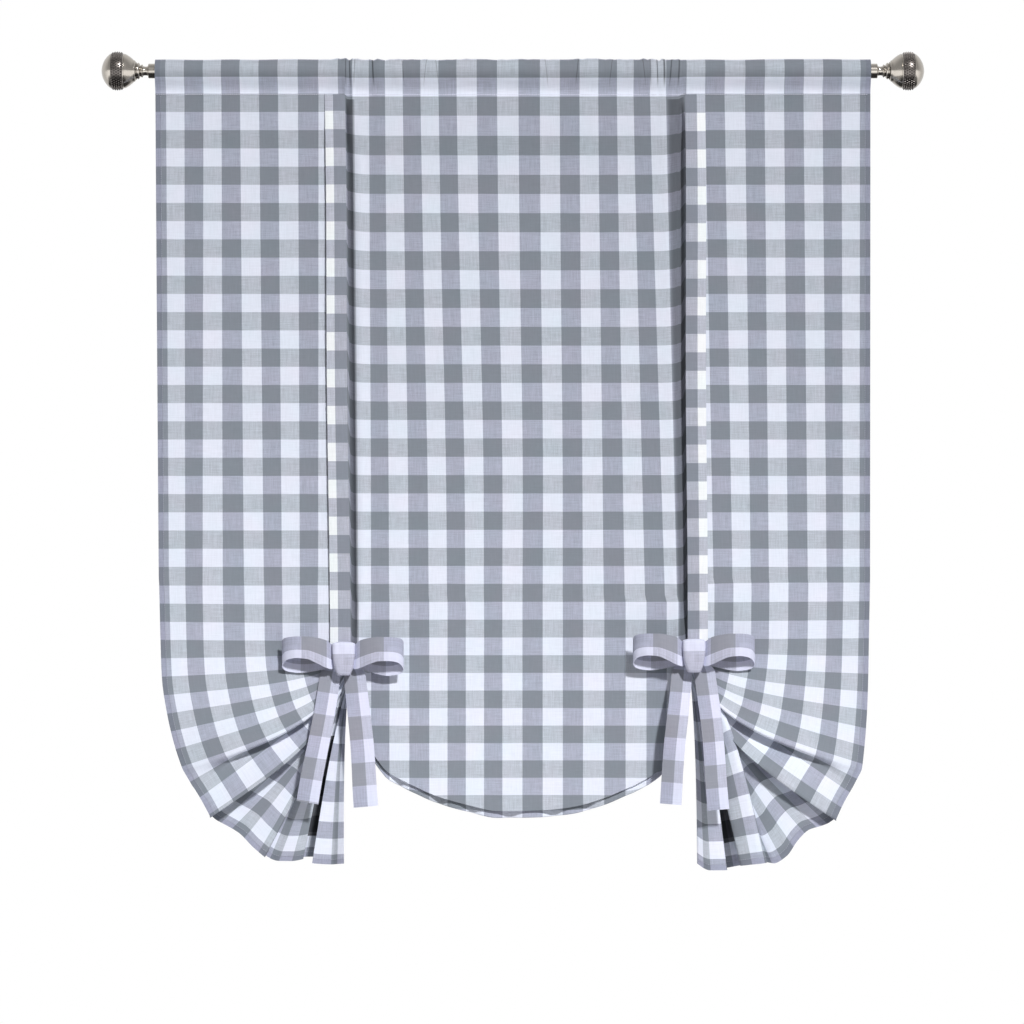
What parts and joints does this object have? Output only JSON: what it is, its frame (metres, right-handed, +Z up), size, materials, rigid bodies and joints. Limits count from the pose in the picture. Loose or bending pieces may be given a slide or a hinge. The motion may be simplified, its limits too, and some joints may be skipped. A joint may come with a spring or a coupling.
{
  "type": "tie-up shade with curtain rod",
  "caption": "Gingham tie-up shade with a rod pocket, gathered up by ties with bows, on a round metal curtain rod with ball finials.",
  "frame": {"origin": "on the rod's axis, midway between the finials", "axes": "+X along the rod, +Z up, the front of the cloth faces -Y"},
  "size_m": [1.2274, 0.091, 1.2201],
  "materials": {
    "gingham": "matt plain-woven cotton, grey and white check",
    "tie_gingham": "matt plain-woven cotton, the same check cut lengthwise",
    "rod_nickel": "satin nickel",
    "knurl": "dark cross-cut pattern"
  },
  "bodies": {
    "root": {"shade_panel": "gingham", "front_tie_left": "tie_gingham", "rear_tie_left": "tie_gingham", "bow_knot_left": "tie_gingham", "bow_loop_left_west": "tie_gingham", "bow_loop_left_east": "tie_gingham", "front_tie_right": "tie_gingham", "rear_tie_right": "tie_gingham", "bow_knot_right": "tie_gingham", "bow_loop_right_west": "tie_gingham", "bow_loop_right_east": "tie_gingham", "bow_tail_left_outer": "tie_gingham", "bow_tail_left_inner": "tie_gingham", "bow_tail_right_inner": "tie_gingham", "bow_tail_right_outer": "tie_gingham", "rod": "rod_nickel", "finial_neck_left": "rod_nickel", "finial_inner_left": "rod_nickel", "finial_band_left": "knurl", "finial_outer_left": "rod_nickel", "finial_neck_right": "rod_nickel", "finial_inner_right": "rod_nickel", "finial_band_right": "knurl", "finial_outer_right": "rod_nickel"}
  },
  "joints": []
}
